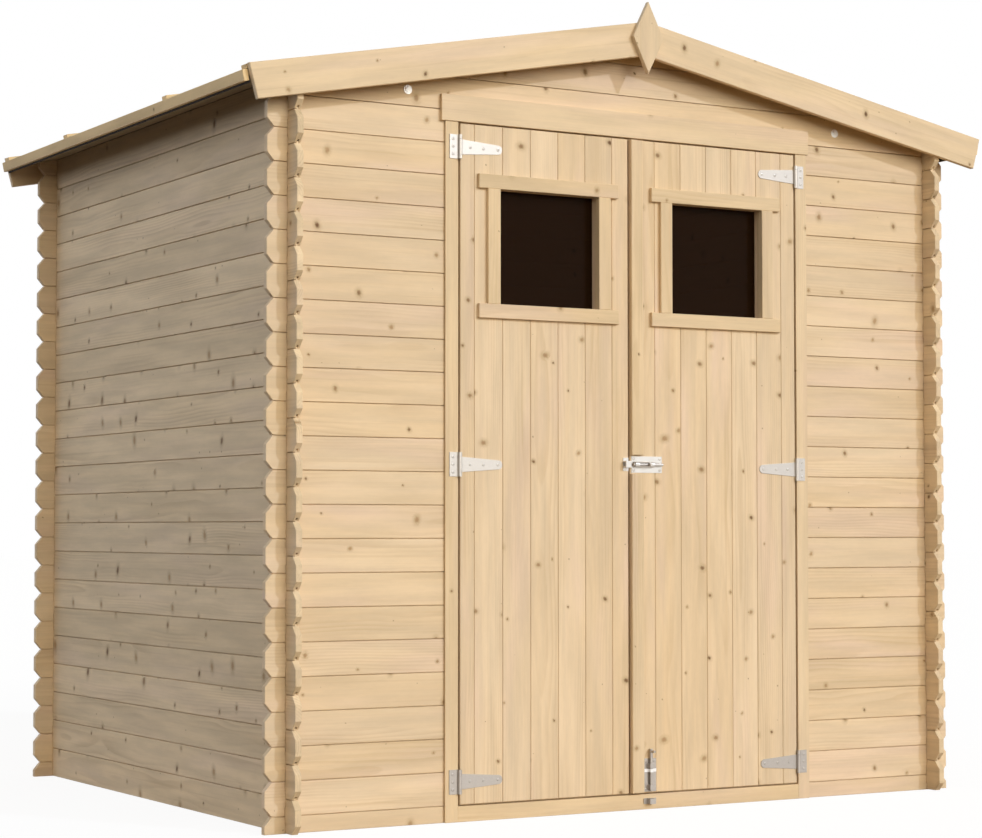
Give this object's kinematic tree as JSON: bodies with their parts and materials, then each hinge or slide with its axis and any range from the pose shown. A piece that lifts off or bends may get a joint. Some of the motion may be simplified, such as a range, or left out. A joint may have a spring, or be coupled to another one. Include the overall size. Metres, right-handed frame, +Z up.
{
  "type": "wooden garden shed",
  "caption": "Pale pine garden shed of interlocking boards with a low gable roof, bargeboards, diamond finials and a pair of boarded doors with small windows and strap hinges",
  "frame": {"origin": "on the ground, under the middle of the shed", "axes": "+X to the right seen from the front, +Y from the doors to the back wall, +Z up"},
  "size_m": [2.4108, 1.866, 2.205],
  "materials": {
    "wall_boards": "planed pine boards, untreated",
    "trim_and_doors": "planed pine, untreated",
    "inner_timber": "sawn pine, untreated",
    "roof_boards": "sawn pine boards",
    "roofing_felt": "matt mineral felt",
    "pane_glass": "clear",
    "zinc_steel": "bright zinc plate"
  },
  "bodies": {
    "shed": {"front_wall_left": "wall_boards", "front_wall_right": "wall_boards", "front_gable": "wall_boards", "back_wall": "wall_boards", "left_wall": "wall_boards", "right_wall": "wall_boards", "left_jamb": "trim_and_doors", "right_jamb": "trim_and_doors", "door_header": "trim_and_doors", "door_sill": "trim_and_doors", "left_hinge_leaves": "zinc_steel", "right_hinge_leaves": "zinc_steel", "floor_bolt_keeper": "zinc_steel", "gable_tie_bolts": "zinc_steel", "left_roof_deck": "roof_boards", "right_roof_deck": "roof_boards", "left_roof_felt": "roofing_felt", "right_roof_felt": "roofing_felt", "left_roof_battens": "roof_boards", "right_roof_battens": "roof_boards", "left_eave_strip": "roof_boards", "right_eave_strip": "roof_boards", "ridge_purlin": "inner_timber", "front_bargeboards": "trim_and_doors", "back_bargeboards": "trim_and_doors", "front_finial": "trim_and_doors", "back_finial": "trim_and_doors", "floor_boards": "inner_timber", "floor_joists": "inner_timber"},
    "left_door_leaf": {"left_door": "trim_and_doors", "left_door_ledges": "inner_timber", "left_window_trim": "trim_and_doors", "left_pane": "pane_glass", "left_window_beads": "inner_timber", "left_hinge_straps": "zinc_steel", "latch_keeper": "zinc_steel"},
    "right_door_leaf": {"right_door": "trim_and_doors", "right_door_ledges": "inner_timber", "meeting_strip": "trim_and_doors", "right_window_trim": "trim_and_doors", "right_pane": "pane_glass", "right_window_beads": "inner_timber", "right_hinge_straps": "zinc_steel", "latch_plate": "zinc_steel", "floor_bolt_plate": "zinc_steel"},
    "latch_bolt": {"latch_rod": "zinc_steel"},
    "floor_bolt": {"floor_bolt_rod": "zinc_steel"}
  },
  "joints": [
    {"name": "left_door_hinge", "type": "hinge", "parent": "shed", "child": "left_door_leaf", "pos_m": [-0.55275, -0.858, 0.934], "axis": [0, 0, -1], "range_deg": [0, 165]},
    {"name": "right_door_hinge", "type": "hinge", "parent": "shed", "child": "right_door_leaf", "pos_m": [0.55275, -0.858, 0.934], "axis": [0, 0, 1], "range_deg": [0, 165]},
    {"name": "latch_slide", "type": "slide", "parent": "right_door_leaf", "child": "latch_bolt", "axis": [-1, 0, 0], "range_m": [0, 0.026]},
    {"name": "floor_bolt_slide", "type": "slide", "parent": "right_door_leaf", "child": "floor_bolt", "axis": [0, 0, -1], "range_m": [0, 0.028]}
  ]
}
